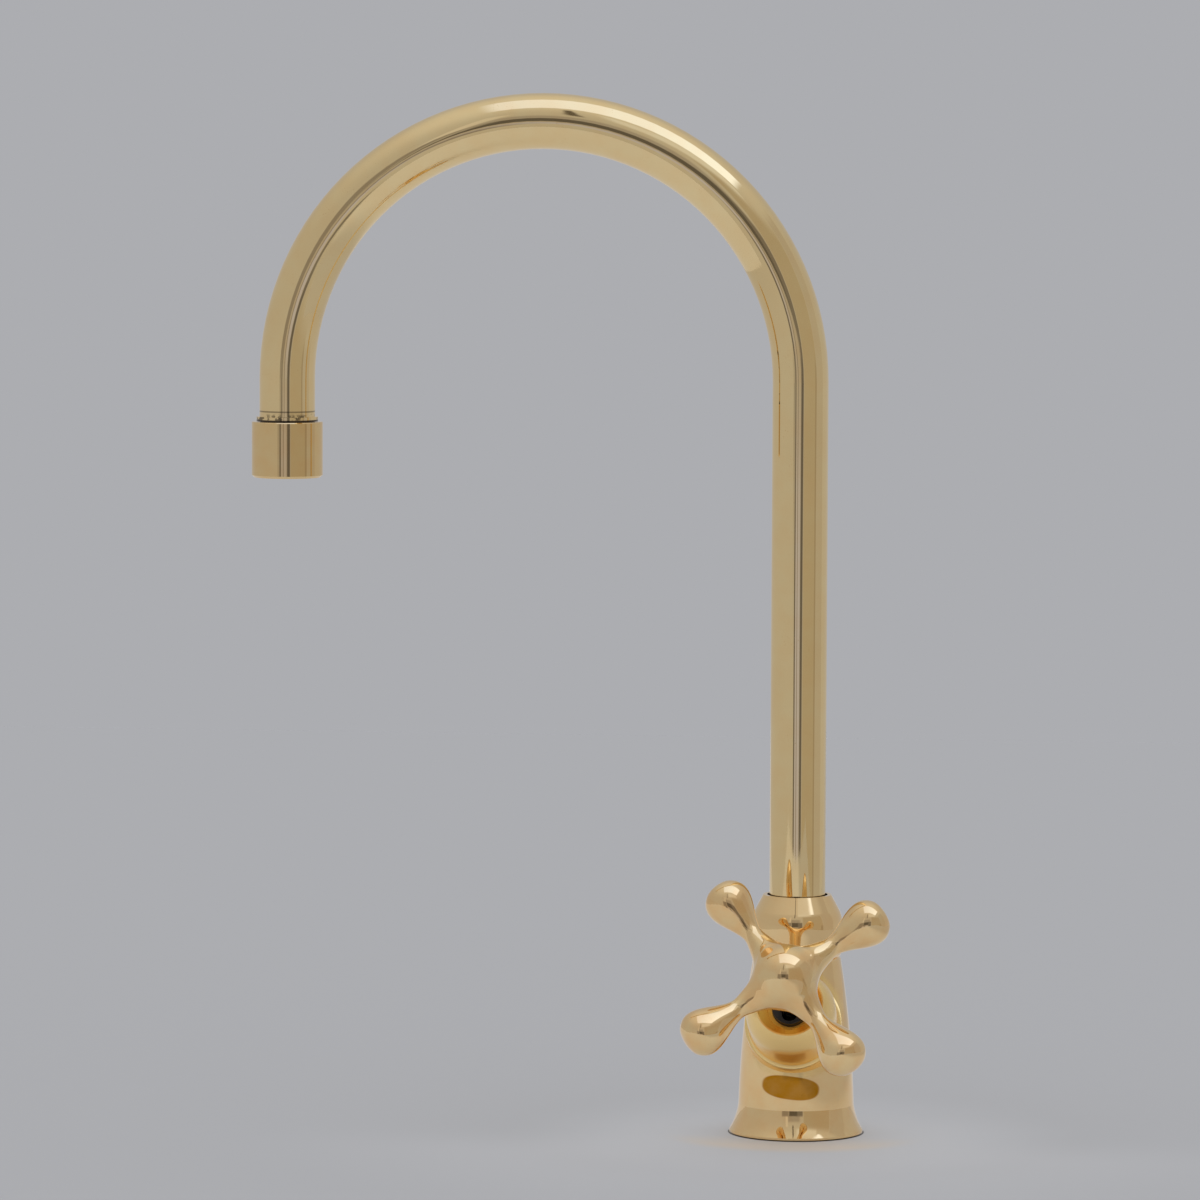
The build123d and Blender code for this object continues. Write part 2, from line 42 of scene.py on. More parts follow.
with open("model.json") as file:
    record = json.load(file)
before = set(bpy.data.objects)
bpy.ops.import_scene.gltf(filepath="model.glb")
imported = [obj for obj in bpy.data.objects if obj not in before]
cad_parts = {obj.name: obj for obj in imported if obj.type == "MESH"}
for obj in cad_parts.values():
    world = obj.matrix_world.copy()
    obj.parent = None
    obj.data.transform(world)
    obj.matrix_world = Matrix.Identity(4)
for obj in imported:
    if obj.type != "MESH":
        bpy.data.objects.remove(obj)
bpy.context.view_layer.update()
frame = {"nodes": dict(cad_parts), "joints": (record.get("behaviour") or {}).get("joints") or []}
nodes = frame["nodes"]
joints = {joint["name"]: joint for joint in frame["joints"]}

BODY_PIECES = ("body",)
BONNET_PIECES = ("spout_bonnet",)
SPOUT_PIECES = ("spout_tube", "outlet_adaptor")
AERATOR_PIECES = ("aerator_housing",)
MACHINED_PIECES = ("cartridge_nut", "spigot")
STEEL_PIECES = ("lever", "lever_pin", "handle_screw")
BLACK_PLASTIC_PIECES = ("cartridge_foot", "rotor")
HOUSING_PIECES = ("cartridge_housing",)
PALE_PLASTIC_PIECES = ("lower_glide_washer", "upper_glide_washer", "disc_carrier")
INSERT_PIECES = ("aerator_insert", "aerator_grid")
CERAMIC_PIECES = ("fixed_disc", "moving_disc")
RUBBER_PIECES = ("base_seal", "cartridge_seals", "spigot_o_rings", "aerator_washer")

# Places on the part, in metres
BORE_RADIUS = 0.0126
BORE_EDGE = 0.0003
BORE_START = (0.02, 0.021)
LID_RADIUS = 0.0071
LID_PLACE = 0.0368
SATIN_REACH = (0.0225, 0.0203)
SATIN_START = (0.01, 0.018)
OUTLET_SIDE = -0.15
OUTLET_JOINT = 0.28275
OUTLET_SEAT = 0.27905
FLANGE_TOP = 0.2807
FLANGE_EDGE = 0.0016
# Heights of the dark line painted along the foot as shade and grime
FOOT_SHADE_AND_GRIME = (0.0006, 0.0003)
# The oval of painted reflection on the body's front
PATCH_CENTRE = (-0.0007, 0.0206)
PATCH_HALF = (0.0113, 0.0046)
PATCH_TURN = radians(6.0)
PATCH_POWER = 2.6
PATCH_EDGE = (1.1, 0.86)

# Finishes
# Dark brown for grime on the outlet, for painted shade along the foot and for a painted shadow on the table
# round it
GRIME_AND_SHADE = (0.07, 0.05, 0.035)
SATIN_BLUR = 0.2
PIT_BLUR = 0.25
REDDER_BLUSH = 0.6
PALER_BLUSH = 0.5
MOULDED_SPREAD = 0.15
TURNED_SPREAD = 0.3
JOINT_GRIME = 0.6
BUMP_HEIGHT = 0.0001
RING_HEIGHT = 0.00002
RING_BUMP = 0.4
RINGS_PER_METRE = 4000.0
GRAIN_SHADE = 0.82
RING_SHADE = 0.85

# Studio light: colours from below to above, then the span of the light overhead, as X and Y over Z
SKY_STOPS = (
    (0.0, (0.44, 0.44, 0.45)),
    (0.45, (0.49, 0.49, 0.5)),
    (0.54, (0.472, 0.472, 0.482)),
    (0.7, (0.478, 0.478, 0.488)),
    (0.79, (0.51, 0.512, 0.522)),
    (0.855, (0.56, 0.562, 0.575)),
    (0.91, (0.62, 0.622, 0.635)),
    (1.0, (0.7, 0.71, 0.73)),
)
OVERHEAD_SPAN = (("X", -0.33, 0.9), ("Y", -0.66, 0.17))
OVERHEAD_EDGE = 0.05
OVERHEAD_LEAST_RISE = 0.02
OVERHEAD_SHADE = (-0.33, 0.8)
OVERHEAD_LEFT = (0.9, 0.99, 1.28)
OVERHEAD_RIGHT = (1.12, 1.3, 1.75)
PLAIN_LIGHT = (1.0, 1.0, 1.0)
STUDIO_PANELS = (
    # azimuth, height, half width, half height, side edge, level edge in degrees, then colour
    ("right_wall", 46.5, 10.0, 27.0, 23.0, 1.5, 6.0, (0.415, 0.388, 0.343)),
    ("far_corner", 71.0, -4.0, 3.5, 6.0, 1.5, 3.0, (0.34, 0.31, 0.27)),
    ("bright_card", 92.0, 13.0, 17.0, 24.0, 1.5, 3.0, (0.44, 0.43, 0.43)),
    ("pale_stripe", 27.0, 43.0, 21.0, 7.0, 3.0, 4.0, (0.68, 0.72, 0.8)),
    ("thin_line", -2.5, 40.0, 1.2, 10.0, 0.6, 3.0, (0.12, 0.11, 0.1)),
    ("upper_dim", 0.0, 17.0, 12.0, 6.0, 3.0, 3.0, (0.35, 0.345, 0.36)),
    ("bright_strip", -14.0, 22.0, 2.2, 10.0, 0.8, 2.0, (0.6, 0.6, 0.62)),
    ("left_shoulder", -17.0, 5.0, 6.5, 8.0, 1.5, 2.0, (0.26, 0.25, 0.255)),
    ("right_shoulder", 11.5, 4.5, 6.0, 8.5, 1.5, 2.5, (0.19, 0.183, 0.19)),
    ("dark_core", -1.5, 6.5, 8.0, 6.3, 1.2, 1.5, (0.115, 0.11, 0.11)),
    ("waist", 0.0, -2.0, 11.0, 1.8, 1.5, 0.8, (0.42, 0.4, 0.4)),
    ("left_stand", -14.5, -5.5, 2.6, 3.0, 1.5, 1.5, (0.14, 0.135, 0.15)),
    ("lit_gap", -2.5, -6.2, 9.0, 3.0, 1.5, 1.0, (0.47, 0.49, 0.66)),
    ("thin_pole", -4.6, -6.0, 1.2, 5.0, 0.8, 1.5, (0.25, 0.24, 0.25)),
    ("right_stand", 12.2, -7.0, 4.6, 6.0, 2.5, 2.0, (0.13, 0.127, 0.14)),
    ("right_leg", 10.5, -14.0, 3.0, 5.0, 1.0, 1.5, (0.2, 0.195, 0.2)),
)

# Light and shade painted on the table: distances from the faucet's axis, places, and shares of the backdrop
WIDE_REACH = (0.24, 0.05)
WIDE_FRONT = (0.0, -0.07)
WIDE_SHARE = 1.13
GLOW_REACH = (0.12, 0.032)
GLOW_FRONT = (0.05, -0.04)
GLOW_BACK = 0.45
GLOW_SHARES = (1.28, 1.3, 1.32)
WARM_REACH = (0.057, 0.044)
WARM_FRONT = (-0.012, -0.036)
WARM_SHARES = (1.45, 1.31, 1.14)
CONTACT_SHADOW_REACH = (0.0271, 0.0263)
MIRRORED_SPAN = (0.08, 0.22)
MIRRORED_LEFT = 1.44
MIRRORED_RIGHT = 1.12

# The handle's casting, in metres
ARM_PROFILE = (
    # distance from the hub's centre, radius
    (0.0, 0.00943),
    (0.009, 0.0043),
    (0.016, 0.00444),
    (0.0226, 0.0038),
    (0.0252, 0.0044),
    (0.0281, 0.0055),
    (0.0329, 0.0076),
    (0.0365, 0.0088),
    (0.0389, 0.0091),
    (0.0418, 0.0086),
    (0.0442, 0.007),
    (0.0458, 0.0045),
    (0.0465, 0.0),
)
HUB_PROFILE = (
    # distance in front of the arms' plane, radius
    (-0.0195, 0.0052),
    (-0.0105, 0.006),
    (-0.0055, 0.006),
    (0.0, 0.00732),
    (0.0027, 0.007),
    (0.00502, 0.00591),
    (0.00672, 0.004),
    (0.00772, 0.0),
)
PROFILE_STEPS = 400
SKIN_MARGIN = 4
SKIN_ROUNDS = 4
SKIN_NUDGE = 0.025


class FaucetBrass(bpy.types.PropertyGroup):
    """The polished brass of the body, spout and handle"""

    clean: FloatVectorProperty(
        name="Clean brass",
        description="Colour of freshly polished brass",
        subtype="COLOR",
        default=(0.91, 0.7, 0.37),
        min=0.0,
        max=1.0,
    )
    cast: FloatVectorProperty(
        name="Cast brass",
        description="Colour of the polished castings and nuts, a little redder than the tube",
        subtype="COLOR",
        default=(0.93, 0.66, 0.33),
        min=0.0,
        max=1.0,
    )
    outlet: FloatVectorProperty(
        name="Outlet brass",
        description="Colour of the aerator's housing",
        subtype="COLOR",
        default=(0.83, 0.6, 0.295),
        min=0.0,
        max=1.0,
    )
    # Deep gold: painted shade in the port's bore, standing in for light bouncing round inside it, on brass
    # that is also unpolished there; the nut, the spigot and the ring on the cartridge's lid take the same
    # colour
    deep: FloatVectorProperty(
        name="Deep gold",
        description="Colour of the unpolished bore and of the nut in it",
        subtype="COLOR",
        default=(0.84, 0.48, 0.09),
        min=0.0,
        max=1.0,
    )
    dome: FloatVectorProperty(
        name="Dome brass",
        description="Colour of the brushed dome round the port's mouth",
        subtype="COLOR",
        default=(0.98, 0.705, 0.3),
        min=0.0,
        max=1.0,
    )
    # Painted reflection: colour of the dark gold oval on the body's front, which stands in for a reflection
    # in the polish there
    reflected: FloatVectorProperty(
        name="Worn patch",
        description="Colour of the worn oval on the front of the body",
        subtype="COLOR",
        default=(0.48, 0.2, 0.008),
        min=0.0,
        max=1.0,
    )
    tarnish: FloatVectorProperty(
        name="Tarnish",
        description="Colour of the brass where it has begun to darken",
        subtype="COLOR",
        default=(0.72, 0.47, 0.2),
        min=0.0,
        max=1.0,
    )
    roughness: FloatProperty(
        name="Roughness",
        description="Blur of the reflections in the polish",
        default=0.03,
        min=0.0,
        max=1.0,
        subtype="FACTOR",
    )


class FaucetHandle(bpy.types.PropertyGroup):
    """The cast cross handle"""

    reach: FloatProperty(
        name="Reach",
        description="Distance from the lever's pivot to the arms' plane",
        default=0.0371,
        min=0.02,
        unit="LENGTH",
    )
    lean: FloatProperty(
        name="Lean",
        description="How far the lever leans up from level at rest",
        default=radians(29.9),
        subtype="ANGLE",
        unit="ROTATION",
    )
    turn: FloatProperty(
        name="Turn",
        description="Angle of the first arm round the lever",
        default=radians(37.0),
        subtype="ANGLE",
        unit="ROTATION",
    )
    arm_web: FloatProperty(
        name="Arm web",
        description="How far the arms melt into each other",
        default=0.0097,
        min=0.001,
        unit="LENGTH",
    )
    hub_web: FloatProperty(
        name="Hub web",
        description="How far the hub melts into the arms",
        default=0.01475,
        min=0.001,
        unit="LENGTH",
    )
    cell: FloatProperty(
        name="Mesh cell",
        description="Size of the casting's mesh cells",
        default=0.0008,
        min=0.0003,
        unit="LENGTH",
    )


class FaucetTrim(bpy.types.PropertyGroup):
    """The steel, plastics, ceramic and rubber"""

    steel: FloatVectorProperty(
        name="Steel",
        description="Colour of the lever, its pin and the grub screw",
        subtype="COLOR",
        default=(0.62, 0.61, 0.59),
        min=0.0,
        max=1.0,
    )
    black_plastic: FloatVectorProperty(
        name="Black plastic",
        description="Colour of the cartridge's housing, foot and rotor",
        subtype="COLOR",
        default=(0.02, 0.02, 0.022),
        min=0.0,
        max=1.0,
    )
    pale_plastic: FloatVectorProperty(
        name="Pale plastic",
        description="Colour of the glide washers and the disc carrier",
        subtype="COLOR",
        default=(0.78, 0.78, 0.75),
        min=0.0,
        max=1.0,
    )
    ceramic: FloatVectorProperty(
        name="Ceramic",
        description="Colour of the two discs",
        subtype="COLOR",
        default=(0.86, 0.84, 0.8),
        min=0.0,
        max=1.0,
    )
    rubber: FloatVectorProperty(
        name="Rubber",
        description="Colour of the seals",
        subtype="COLOR",
        default=(0.025, 0.025, 0.026),
        min=0.0,
        max=1.0,
    )


class FaucetStudio(bpy.types.PropertyGroup):
    """The table, the backdrop and the camera"""

    backdrop: FloatVectorProperty(
        name="Backdrop",
        description="Grey of the backdrop and of the table",
        subtype="COLOR",
        default=(0.413, 0.418, 0.439),
        min=0.0,
        max=1.0,
    )
    table_front: FloatProperty(
        name="Table front",
        description="Distance from the faucet to the table's front edge",
        default=0.95,
        min=0.2,
        unit="LENGTH",
    )
    table_side: FloatProperty(
        name="Table side",
        description="Distance from the faucet to the table's side edges",
        default=0.68,
        min=0.2,
        unit="LENGTH",
    )
    table_back: FloatProperty(
        name="Table back",
        description="Distance from the faucet to the table's back edge",
        default=1.6,
        min=0.2,
        unit="LENGTH",
    )
    camera_distance: FloatProperty(
        name="Camera distance",
        description="Distance of the camera from the faucet's axis, along the table",
        default=2.71,
        min=0.5,
        unit="LENGTH",
    )
    camera_height: FloatProperty(
        name="Camera height",
        description="Height of the camera above the table",
        default=0.42,
        unit="LENGTH",
    )
    camera_azimuth: FloatProperty(
        name="Camera azimuth",
        description="How far the camera stands round from the port, towards +X",
        default=radians(4.25),
        subtype="ANGLE",
        unit="ROTATION",
    )
    camera_roll: FloatProperty(
        name="Camera roll",
        description="Turn of the camera about its own line of sight",
        default=radians(0.24),
        subtype="ANGLE",
        unit="ROTATION",
    )
    camera_aim: FloatVectorProperty(
        name="Camera aim",
        description="The point that the camera looks at",
        default=(-0.07857, 0.0, 0.20946),
        subtype="XYZ",
        unit="LENGTH",
    )
    focal_length: FloatProperty(
        name="Focal length",
        description="Focal length in millimetres on a 36 mm sensor",
        default=207.76,
        min=20.0,
    )


def add_node(tree, kind, **settings):
    """A node with some of its settings."""
    node = tree.nodes.new(kind)
    for name, value in settings.items():
        setattr(node, name, value)
    return node


def feed(tree, socket, entry):
    """Links an output into a socket, or sets a plain value on it."""
    if isinstance(entry, bpy.types.NodeSocket):
        tree.links.new(entry, socket)
    else:
        socket.default_value = entry


def math_node(tree, operation, first, second=None):
    """A Math node on sockets or plain numbers, as its output socket."""
    node = add_node(tree, "ShaderNodeMath", operation=operation)
    feed(tree, node.inputs[0], first)
    if second is not None:
        feed(tree, node.inputs[1], second)
    return node.outputs[0]


def vector_node(tree, operation, first, second=None):
    """A Vector Math node, as its output socket."""
    node = add_node(tree, "ShaderNodeVectorMath", operation=operation)
    feed(tree, node.inputs[0], first)
    if second is not None:
        feed(tree, node.inputs[1], second)
    return node.outputs["Value" if operation in ("DOT_PRODUCT", "LENGTH") else "Vector"]


def split(tree, position):
    """The X, Y and Z of a position."""
    parts = add_node(tree, "ShaderNodeSeparateXYZ")
    tree.links.new(position, parts.inputs[0])
    return parts.outputs


def noise(tree, position, scale, detail, roughness=0.5):
    """A noise texture, as its output socket."""
    node = add_node(tree, "ShaderNodeTexNoise")
    node.inputs["Detail"].default_value = detail
    node.inputs["Roughness"].default_value = roughness
    feed(tree, node.inputs["Scale"], scale)
    tree.links.new(position, node.inputs["Vector"])
    return node.outputs["Fac"]


def map_range(tree, value, low, high, to_low=0.0, to_high=1.0, smooth=False):
    """A Map Range node, as its output socket."""
    node = add_node(tree, "ShaderNodeMapRange")
    if smooth:
        node.interpolation_type = "SMOOTHSTEP"
    for name, entry in (
        ("Value", value),
        ("From Min", low),
        ("From Max", high),
        ("To Min", to_low),
        ("To Max", to_high),
    ):
        feed(tree, node.inputs[name], entry)
    return node.outputs["Result"]


def mix_colours(tree, mask, first, second):
    """A colour mix, as its output socket."""
    node = add_node(tree, "ShaderNodeMix", data_type="RGBA")
    sockets = {socket.name: socket for socket in node.inputs if socket.enabled}
    feed(tree, sockets["Factor"], mask)
    for name, entry in (("A", first), ("B", second)):
        if not isinstance(entry, bpy.types.NodeSocket):
            entry = (*tuple(entry)[:3], 1.0)
        feed(tree, sockets[name], entry)
    return [socket for socket in node.outputs if socket.name == "Result" and socket.enabled][0]


def tinted(colour, shares):
    """A colour with each channel times its share."""
    return [channel * share for channel, share in zip(colour, shares)]


def dimmed(colour, share):
    """A colour with every channel times one share."""
    return tinted(colour, (share, share, share))


def new_group(name, inputs, outputs):
    """An empty shader node group with its group nodes."""
    group = bpy.data.node_groups.new(name, "ShaderNodeTree")
    for label, kind, default in inputs:
        socket = group.interface.new_socket(label, in_out="INPUT", socket_type=kind)
        if default is not None:
            socket.default_value = default
    for label, kind in outputs:
        group.interface.new_socket(label, in_out="OUTPUT", socket_type=kind)
    entry = group.nodes.new("NodeGroupInput")
    leave = group.nodes.new("NodeGroupOutput")
    return group, entry, leave


def hand_polish_group():
    """Waves that hand buffing leaves in brass, with fine pits, hazy patches and a redder blush."""
    name = "hand_polish"
    if name in bpy.data.node_groups:
        return bpy.data.node_groups[name]
    group, entry, leave = new_group(
        name,
        (
            ("Position", "NodeSocketVector", None),
            ("Wave Scale", "NodeSocketFloat", 60.0),
            ("Wave Depth", "NodeSocketFloat", 1.0),
            ("Pit Scale", "NodeSocketFloat", 900.0),
            ("Pit Amount", "NodeSocketFloat", 0.5),
        ),
        (
            ("Height", "NodeSocketFloat"),
            ("Pits", "NodeSocketFloat"),
            ("Haze", "NodeSocketFloat"),
            ("Blush", "NodeSocketFloat"),
        ),
    )
    position = entry.outputs["Position"]
    waves = noise(group, position, scale=entry.outputs["Wave Scale"], detail=1.0, roughness=0.35)
    height = math_node(group, "MULTIPLY", waves, entry.outputs["Wave Depth"])
    pits = add_node(group, "ShaderNodeTexVoronoi", feature="F1")
    group.links.new(position, pits.inputs["Vector"])
    group.links.new(entry.outputs["Pit Scale"], pits.inputs["Scale"])
    dots = map_range(group, pits.outputs["Distance"], low=0.2, high=0.08, smooth=True)
    where = map_range(group, noise(group, position, scale=140.0, detail=2.0), low=0.56, high=0.72)
    pitted = math_node(group, "MULTIPLY", dots, where)
    pitted = math_node(group, "MULTIPLY", pitted, entry.outputs["Pit Amount"])
    haze = map_range(group, noise(group, position, scale=45.0, detail=4.0), low=0.35, high=0.75)
    blush = map_range(group, noise(group, position, scale=130.0, detail=3.0), low=0.35, high=0.65)
    for label, socket in (("Height", height), ("Pits", pitted), ("Haze", haze), ("Blush", blush)):
        group.links.new(socket, leave.inputs[label])
    return group


def moulded_grain_group():
    """The fine grain of a moulded or sintered face."""
    name = "moulded_grain"
    if name in bpy.data.node_groups:
        return bpy.data.node_groups[name]
    group, entry, leave = new_group(
        name,
        (("Position", "NodeSocketVector", None), ("Grain Scale", "NodeSocketFloat", 900.0)),
        (("Height", "NodeSocketFloat"), ("Shade", "NodeSocketFloat")),
    )
    grain = noise(group, entry.outputs["Position"], scale=entry.outputs["Grain Scale"], detail=3.0)
    group.links.new(grain, leave.inputs["Height"])
    group.links.new(map_range(group, grain, low=0.3, high=0.7), leave.inputs["Shade"])
    return group


def turning_rings_group():
    """The rings that turning leaves along an axis."""
    name = "turning_rings"
    if name in bpy.data.node_groups:
        return bpy.data.node_groups[name]
    group, entry, leave = new_group(
        name,
        (("Along", "NodeSocketFloat", 0.0), ("Ring Scale", "NodeSocketFloat", RINGS_PER_METRE)),
        (("Height", "NodeSocketFloat"), ("Shade", "NodeSocketFloat"), ("Blur", "NodeSocketFloat")),
    )
    rings = add_node(group, "ShaderNodeTexNoise", noise_dimensions="1D")
    rings.inputs["Detail"].default_value = 3.0
    group.links.new(entry.outputs["Ring Scale"], rings.inputs["Scale"])
    group.links.new(entry.outputs["Along"], rings.inputs["W"])
    height = rings.outputs["Fac"]
    group.links.new(height, leave.inputs["Height"])
    group.links.new(map_range(group, height, low=0.35, high=0.65), leave.inputs["Shade"])
    group.links.new(map_range(group, height, low=0.3, high=0.7), leave.inputs["Blur"])
    return group


def new_material(name):
    """A new material: itself, its node tree, its shader and its object position."""
    material = bpy.data.materials.new(name)
    material.use_nodes = True
    tree = material.node_tree
    place = add_node(tree, "ShaderNodeTexCoord")
    return material, tree, tree.nodes["Principled BSDF"], place.outputs["Object"]


def add_group(tree, group, label="", **inputs):
    """A shader group placed in a tree, with its own values."""
    node = add_node(tree, "ShaderNodeGroup", label=label)
    node.node_tree = group
    for name, entry in inputs.items():
        feed(tree, node.inputs[name.replace("_", " ").title()], entry)
    return node.outputs


def add_bump(tree, shader, height, strength, distance):
    """A bump on the shader's normal."""
    bump = add_node(tree, "ShaderNodeBump")
    bump.inputs["Strength"].default_value = strength
    bump.inputs["Distance"].default_value = distance
    tree.links.new(height, bump.inputs["Height"])
    tree.links.new(bump.outputs["Normal"], shader.inputs["Normal"])


def brass_material(
    name, settings, brass, wave_scale, wave_depth, pits, tarnish, haze, blush, marks=(), satin=None
):
    """Polished brass: buffing waves, pits, patches that have begun to darken, and coloured marks."""
    material, tree, shader, position = new_material(name)
    shader.inputs["Metallic"].default_value = 1.0
    polish = add_group(
        tree,
        hand_polish_group(),
        position=position,
        wave_scale=wave_scale,
        wave_depth=wave_depth,
        pit_amount=pits,
    )
    redder = tinted(brass, (1.0, 1.0 - REDDER_BLUSH * blush, 1.0 - blush))
    paler = tinted(brass, (1.0, 1.0 + PALER_BLUSH * blush, 1.0 + blush))
    colour = mix_colours(tree, polish["Blush"], redder, paler)
    colour = mix_colours(tree, math_node(tree, "MULTIPLY", polish["Haze"], tarnish), colour, settings.tarnish)
    colour = mix_colours(tree, polish["Pits"], colour, settings.tarnish)
    for mark, tint in marks:
        colour = mix_colours(tree, mark(tree, position), colour, tint)
    tree.links.new(colour, shader.inputs["Base Color"])
    blur = map_range(tree, polish["Haze"], 0.0, 1.0, settings.roughness, settings.roughness + haze)
    blur = math_node(tree, "ADD", blur, math_node(tree, "MULTIPLY", polish["Pits"], PIT_BLUR))
    if satin:
        dull = math_node(tree, "MULTIPLY", satin(tree, position), SATIN_BLUR)
        blur = math_node(tree, "ADD", blur, dull)
    tree.links.new(blur, shader.inputs["Roughness"])
    add_bump(tree, shader, polish["Height"], 1.0, BUMP_HEIGHT)
    return material


def moulded_material(name, colour, roughness, grain_scale, grain_depth, plate=None):
    """Moulded plastic, rubber or ceramic with a fine grain, and a metal plate let into it."""
    material, tree, shader, position = new_material(name)
    grain = add_group(tree, moulded_grain_group(), position=position, grain_scale=grain_scale)
    shade = mix_colours(tree, grain["Shade"], dimmed(colour, GRAIN_SHADE), colour)
    if plate:
        mark, metal = plate
        covered = mark(tree, position)
        shade = mix_colours(tree, covered, shade, metal)
        tree.links.new(covered, shader.inputs["Metallic"])
    tree.links.new(shade, shader.inputs["Base Color"])
    spread = roughness * MOULDED_SPREAD
    blur = map_range(tree, grain["Shade"], 0.0, 1.0, roughness - spread, roughness + spread)
    tree.links.new(blur, shader.inputs["Roughness"])
    add_bump(tree, shader, grain["Height"], grain_depth, BUMP_HEIGHT)
    return material


def turned_material(name, colour, roughness):
    """Machined metal with turning rings along the port's axis."""
    material, tree, shader, position = new_material(name)
    shader.inputs["Metallic"].default_value = 1.0
    along, _ = port_place(tree, position)
    rings = add_group(tree, turning_rings_group(), along=along)
    shade = mix_colours(tree, rings["Shade"], dimmed(colour, RING_SHADE), colour)
    tree.links.new(shade, shader.inputs["Base Color"])
    spread = roughness * TURNED_SPREAD
    blur = map_range(tree, rings["Blur"], 0.0, 1.0, roughness - spread, roughness + spread)
    tree.links.new(blur, shader.inputs["Roughness"])
    add_bump(tree, shader, rings["Height"], RING_BUMP, RING_HEIGHT)
    return material


def port_place(tree, position):
    """Distance along the port's axis and radius from it."""
    port = joints["temperature_turn"]
    offset = vector_node(tree, "SUBTRACT", position, port["pos_m"])
    along = vector_node(tree, "DOT_PRODUCT", offset, port["axis"])
    across = vector_node(tree, "CROSS_PRODUCT", offset, port["axis"])
    return along, vector_node(tree, "LENGTH", across)


def bore_shade_mark(tree, position):
    """The inside of the port's bore, where deep gold is painted as shade from the light bouncing inside it.
    """
    along, radius = port_place(tree, position)
    inside = map_range(tree, radius, BORE_RADIUS + BORE_EDGE, BORE_RADIUS, smooth=True)
    return math_node(tree, "MULTIPLY", inside, map_range(tree, along, *BORE_START))


def lid_mark(tree, position):
    """The metal ring on the cartridge's lid, round the rotor's neck."""
    along, radius = port_place(tree, position)
    outside = math_node(tree, "GREATER_THAN", radius, LID_RADIUS)
    return math_node(tree, "MULTIPLY", outside, math_node(tree, "GREATER_THAN", along, LID_PLACE))


def satin_mark(tree, position):
    """The brushed dome round the port's mouth, fading out past its ring."""
    along, radius = port_place(tree, position)
    inside = map_range(tree, radius, *SATIN_REACH, smooth=True)
    return math_node(tree, "MULTIPLY", inside, map_range(tree, along, *SATIN_START))


def reflection_oval_mark(tree, position):
    """A dark gold oval painted on the front of the body, under the port, as a mottled painted reflection."""
    parts = split(tree, position)
    right = math_node(tree, "SUBTRACT", parts["X"], PATCH_CENTRE[0])
    above = math_node(tree, "SUBTRACT", parts["Z"], PATCH_CENTRE[1])
    reach = []
    for share_right, share_above, half in (
        (cos(PATCH_TURN), -sin(PATCH_TURN), PATCH_HALF[0]),
        (sin(PATCH_TURN), cos(PATCH_TURN), PATCH_HALF[1]),
    ):
        turned = math_node(
            tree,
            "ADD",
            math_node(tree, "MULTIPLY", right, share_right / half),
            math_node(tree, "MULTIPLY", above, share_above / half),
        )
        reach.append(math_node(tree, "POWER", math_node(tree, "ABSOLUTE", turned), PATCH_POWER))
    oval = map_range(tree, math_node(tree, "ADD", *reach), *PATCH_EDGE, smooth=True)
    front = math_node(tree, "LESS_THAN", parts["Y"], 0.0)
    mottle = noise(tree, position, scale=150.0, detail=3.0)
    reflected = map_range(tree, mottle, low=0.65, high=0.4, to_low=0.9, to_high=1.0)
    return math_node(tree, "MULTIPLY", math_node(tree, "MULTIPLY", oval, front), reflected)


def level_line(tree, height, place, half):
    """A thin level line at a height."""
    offset = math_node(tree, "ABSOLUTE", math_node(tree, "SUBTRACT", height, place))
    return map_range(tree, offset, half, half / 2, smooth=True)


def outlet_mark(tree, position):
    """Grime in the outlet's brazed joint and on its flange."""
    parts = split(tree, position)
    height = parts["Z"]
    dirt = map_range(tree, noise(tree, position, scale=420.0, detail=3.0), low=0.5, high=0.6, smooth=True)
    flange = map_range(tree, height, FLANGE_TOP + FLANGE_EDGE, FLANGE_TOP, to_high=0.8, smooth=True)
    joint = math_node(tree, "MULTIPLY", level_line(tree, height, OUTLET_JOINT, half=0.0004), JOINT_GRIME)
    seat = level_line(tree, height, OUTLET_SEAT, half=0.0006)
    grime = math_node(tree, "MULTIPLY", dirt, flange)
    for line in (joint, seat):
        grime = math_node(tree, "MAXIMUM", grime, line)
    return math_node(tree, "MULTIPLY", grime, math_node(tree, "LESS_THAN", parts["X"], OUTLET_SIDE))


def foot_shade_mark(tree, position):
    """A dark line painted along the foot's lower edge: painted shade and grime where the foot meets the deck.
    """
    return map_range(tree, split(tree, position)["Z"], *FOOT_SHADE_AND_GRIME, smooth=True)


def smooth_profile(stations):
    """A smooth curve through a turned profile: distance along it, radius squared and its slope."""
    along, radius = np.array(stations).T
    area = radius**2
    gap = np.diff(along)
    rise = np.diff(area) / gap
    last = len(along) - 1
    system = np.eye(last + 1)
    change = np.zeros(last + 1)
    system[0, :2] = 2 * gap[0], gap[0]
    change[0] = 6 * rise[0]
    for knot in range(1, last):
        system[knot, knot - 1 : knot + 2] = gap[knot - 1], 2 * (gap[knot - 1] + gap[knot]), gap[knot]
        change[knot] = 6 * (rise[knot] - rise[knot - 1])
    bend = np.linalg.solve(system, change)
    place = np.linspace(along[0], along[-1], PROFILE_STEPS)
    knot = np.clip(np.searchsorted(along, place) - 1, 0, last - 1)
    after = (place - along[knot]) / gap[knot]
    before = 1 - after
    curve = (before**3 - before) * bend[knot] + (after**3 - after) * bend[knot + 1]
    lean = (3 * after**2 - 1) * bend[knot + 1] - (3 * before**2 - 1) * bend[knot]
    height = before * area[knot] + after * area[knot + 1] + curve * gap[knot] ** 2 / 6
    return place, height, rise[knot] + lean * gap[knot] / 6


